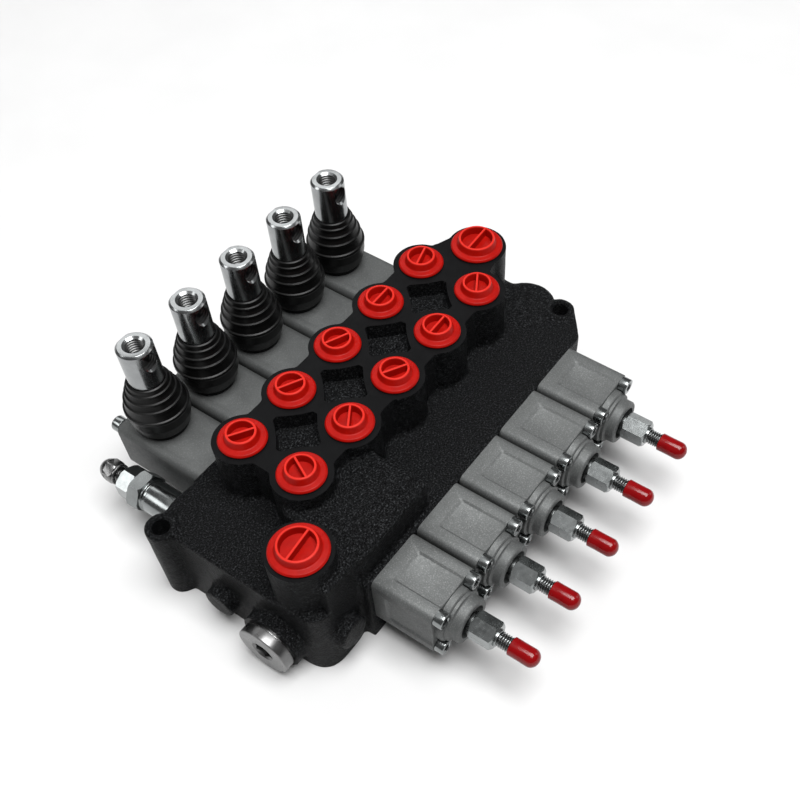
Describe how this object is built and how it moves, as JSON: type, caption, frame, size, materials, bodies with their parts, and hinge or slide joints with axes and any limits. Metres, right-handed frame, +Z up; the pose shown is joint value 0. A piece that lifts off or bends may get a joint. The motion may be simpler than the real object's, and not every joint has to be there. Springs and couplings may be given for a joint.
{
  "type": "hydraulic monoblock valve",
  "caption": "Cast monoblock directional valve with lever-operated spools, spring caps, plugged ports on a raised tower and a side relief valve.",
  "frame": {"origin": "on the mounting face, below the middle spool and midway between the cap face and the lever face of the casting", "axes": "+X along the casting from the inlet end to the outlet end, +Y towards the levers, +Z up out of the mounting face"},
  "size_m": [0.2575, 0.251, 0.104],
  "materials": {
    "cast_iron_black": "satin black paint over fine cast grain",
    "housing_aluminium": "die-cast, matt",
    "cap_aluminium": "die-cast, blasted, fine speckle",
    "zinc_plated": "bright zinc plate with turning marks",
    "dark_zinc": "dark burnished steel",
    "steel": "ground steel",
    "spring_steel": "oiled spring wire",
    "red_plastic": "soft waxy polyethylene",
    "red_vinyl": "glossy dipped vinyl",
    "boot_rubber": "moulded rubber, soft sheen",
    "seal_rubber": "smooth nitrile rubber"
  },
  "bodies": {
    "valve": {"valve_body": "cast_iron_black", "lever_housing_1": "housing_aluminium", "lever_housing_2": "housing_aluminium", "lever_housing_3": "housing_aluminium", "lever_housing_4": "housing_aluminium", "lever_housing_5": "housing_aluminium", "boot_1": "boot_rubber", "boot_2": "boot_rubber", "boot_3": "boot_rubber", "boot_4": "boot_rubber", "boot_5": "boot_rubber", "spring_cap_1": "cap_aluminium", "spring_cap_2": "cap_aluminium", "spring_cap_3": "cap_aluminium", "spring_cap_4": "cap_aluminium", "spring_cap_5": "cap_aluminium", "centring_spring_1": "spring_steel", "centring_spring_2": "spring_steel", "centring_spring_3": "spring_steel", "centring_spring_4": "spring_steel", "centring_spring_5": "spring_steel", "spring_cap_screws": "zinc_plated", "lever_housing_screws": "zinc_plated", "lever_pivot_pins": "steel", "spring_seats": "steel", "spool_seals": "seal_rubber", "work_port_plugs_a": "red_plastic", "work_port_plugs_b": "red_plastic", "inlet_port_plug": "red_plastic", "outlet_port_plug": "red_plastic", "inlet_end_plug": "zinc_plated", "inlet_end_plug_seal": "steel", "outlet_end_plug": "zinc_plated", "relief_valve_body": "zinc_plated", "relief_lock_nut": "zinc_plated", "relief_adjusting_screw": "steel", "relief_cap_nut": "dark_zinc", "relief_spring": "spring_steel", "relief_poppet": "steel"},
    "lever_arm_1": {"lever_1": "zinc_plated"},
    "spool_set_1": {"spool_1": "steel", "spool_stud_1": "zinc_plated", "thread_sleeve_1": "red_vinyl"},
    "lever_arm_2": {"lever_2": "zinc_plated"},
    "spool_set_2": {"spool_2": "steel", "spool_stud_2": "zinc_plated", "thread_sleeve_2": "red_vinyl"},
    "lever_arm_3": {"lever_3": "zinc_plated"},
    "spool_set_3": {"spool_3": "steel", "spool_stud_3": "zinc_plated", "thread_sleeve_3": "red_vinyl"},
    "lever_arm_4": {"lever_4": "zinc_plated"},
    "spool_set_4": {"spool_4": "steel", "spool_stud_4": "zinc_plated", "thread_sleeve_4": "red_vinyl"},
    "lever_arm_5": {"lever_5": "zinc_plated"},
    "spool_set_5": {"spool_5": "steel", "spool_stud_5": "zinc_plated", "thread_sleeve_5": "red_vinyl"}
  },
  "joints": [
    {"name": "lever_1_tilt", "type": "hinge", "parent": "valve", "child": "lever_arm_1", "pos_m": [-0.072, 0.0925, 0.0505], "axis": [1, 0, 0], "range_deg": [-18, 18], "stiffness_Nm_per_rad": 2.5, "deforming": ["boot_1"]},
    {"name": "spool_1_slide", "type": "slide", "parent": "valve", "child": "spool_set_1", "axis": [0, 1, 0], "range_m": [-0.006, 0.006], "deforming": ["centring_spring_1"]},
    {"name": "lever_2_tilt", "type": "hinge", "parent": "valve", "child": "lever_arm_2", "pos_m": [-0.036, 0.0925, 0.0505], "axis": [1, 0, 0], "range_deg": [-18, 18], "stiffness_Nm_per_rad": 2.5, "deforming": ["boot_2"]},
    {"name": "spool_2_slide", "type": "slide", "parent": "valve", "child": "spool_set_2", "axis": [0, 1, 0], "range_m": [-0.006, 0.006], "deforming": ["centring_spring_2"]},
    {"name": "lever_3_tilt", "type": "hinge", "parent": "valve", "child": "lever_arm_3", "pos_m": [0, 0.0925, 0.0505], "axis": [1, 0, 0], "range_deg": [-18, 18], "stiffness_Nm_per_rad": 2.5, "deforming": ["boot_3"]},
    {"name": "spool_3_slide", "type": "slide", "parent": "valve", "child": "spool_set_3", "axis": [0, 1, 0], "range_m": [-0.006, 0.006], "deforming": ["centring_spring_3"]},
    {"name": "lever_4_tilt", "type": "hinge", "parent": "valve", "child": "lever_arm_4", "pos_m": [0.036, 0.0925, 0.0505], "axis": [1, 0, 0], "range_deg": [-18, 18], "stiffness_Nm_per_rad": 2.5, "deforming": ["boot_4"]},
    {"name": "spool_4_slide", "type": "slide", "parent": "valve", "child": "spool_set_4", "axis": [0, 1, 0], "range_m": [-0.006, 0.006], "deforming": ["centring_spring_4"]},
    {"name": "lever_5_tilt", "type": "hinge", "parent": "valve", "child": "lever_arm_5", "pos_m": [0.072, 0.0925, 0.0505], "axis": [1, 0, 0], "range_deg": [-18, 18], "stiffness_Nm_per_rad": 2.5, "deforming": ["boot_5"]},
    {"name": "spool_5_slide", "type": "slide", "parent": "valve", "child": "spool_set_5", "axis": [0, 1, 0], "range_m": [-0.006, 0.006], "deforming": ["centring_spring_5"]}
  ],
  "couplings": [
    {"joint": "spool_1_slide", "follows": "lever_1_tilt", "m_per_rad": 0.019},
    {"joint": "spool_2_slide", "follows": "lever_2_tilt", "m_per_rad": 0.019},
    {"joint": "spool_3_slide", "follows": "lever_3_tilt", "m_per_rad": 0.019},
    {"joint": "spool_4_slide", "follows": "lever_4_tilt", "m_per_rad": 0.019},
    {"joint": "spool_5_slide", "follows": "lever_5_tilt", "m_per_rad": 0.019}
  ]
}
